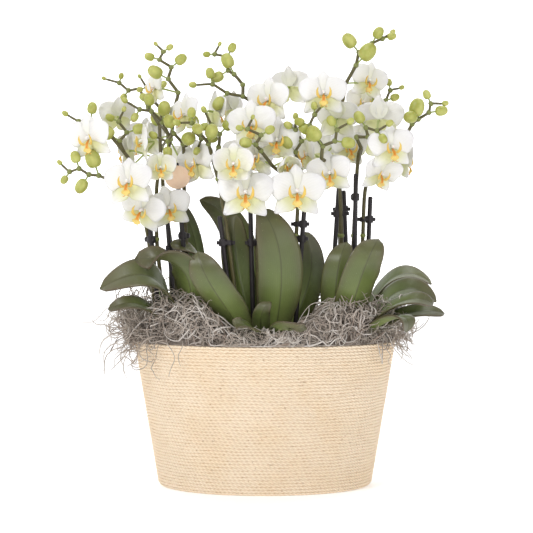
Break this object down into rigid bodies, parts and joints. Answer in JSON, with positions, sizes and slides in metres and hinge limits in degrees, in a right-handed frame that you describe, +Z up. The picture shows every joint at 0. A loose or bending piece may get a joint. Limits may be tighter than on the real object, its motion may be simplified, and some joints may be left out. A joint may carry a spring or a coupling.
{
  "type": "potted orchid arrangement",
  "caption": "White moth orchids with branching clipped spikes and dark strap leaves, dressed with dry moss in an oval planter wound from pale cord.",
  "frame": {"origin": "middle of the flat underside of the basket, on the surface it stands on", "axes": "+Z up, +X along the basket's long side to the right of the picture, -Y to the front"},
  "size_m": [0.4, 0.2069, 0.4757],
  "materials": {
    "paper_cord": "matt twisted paper cord wound round and glued",
    "tub_plastic": "plain moulded plastic",
    "pot_plastic": "thin moulded nursery pot",
    "bark": "rough bark chips",
    "crown": "green leaf bases",
    "stick_plastic": "near-black plastic with a soft shine",
    "label_card": "blank peach card",
    "spike": "living white petals, green buds and stalks",
    "leaf": "smooth dark green leaf with a soft shine",
    "moss": "dry tangled moss"
  },
  "bodies": {
    "root": {"bark_centre": "bark", "bark_left": "bark", "bark_right": "bark", "basket": "paper_cord", "crown_centre": "crown", "crown_left": "crown", "crown_right": "crown", "leaf_centre_1": "leaf", "leaf_centre_10": "leaf", "leaf_centre_11": "leaf", "leaf_centre_2": "leaf", "leaf_centre_3": "leaf", "leaf_centre_4": "leaf", "leaf_centre_5": "leaf", "leaf_centre_6": "leaf", "leaf_centre_7": "leaf", "leaf_centre_8": "leaf", "leaf_centre_9": "leaf", "leaf_left_1": "leaf", "leaf_left_2": "leaf", "leaf_left_3": "leaf", "leaf_left_4": "leaf", "leaf_left_5": "leaf", "leaf_left_6": "leaf", "leaf_right_1": "leaf", "leaf_right_2": "leaf", "leaf_right_3": "leaf", "leaf_right_4": "leaf", "leaf_right_5": "leaf", "leaf_right_6": "leaf", "leaf_right_7": "leaf", "leaf_right_8": "leaf", "moss": "moss", "nursery_pot_centre": "pot_plastic", "nursery_pot_left": "pot_plastic", "nursery_pot_right": "pot_plastic", "plant_label": "label_card", "pot_deck": "tub_plastic", "spike_centre_1": "spike", "spike_centre_2": "spike", "spike_centre_3": "spike", "spike_left_1": "spike", "spike_left_2": "spike", "spike_left_3": "spike", "spike_left_4": "spike", "spike_right_1": "spike", "spike_right_2": "spike", "spike_right_3": "spike", "spike_right_4": "spike", "stick_centre_1": "stick_plastic", "stick_centre_2": "stick_plastic", "stick_centre_3": "stick_plastic", "stick_left_1": "stick_plastic", "stick_left_2": "stick_plastic", "stick_left_3": "stick_plastic", "stick_right_1": "stick_plastic", "stick_right_2": "stick_plastic", "stick_right_3": "stick_plastic", "stick_right_4": "stick_plastic", "water_tub": "tub_plastic"}
  },
  "joints": []
}
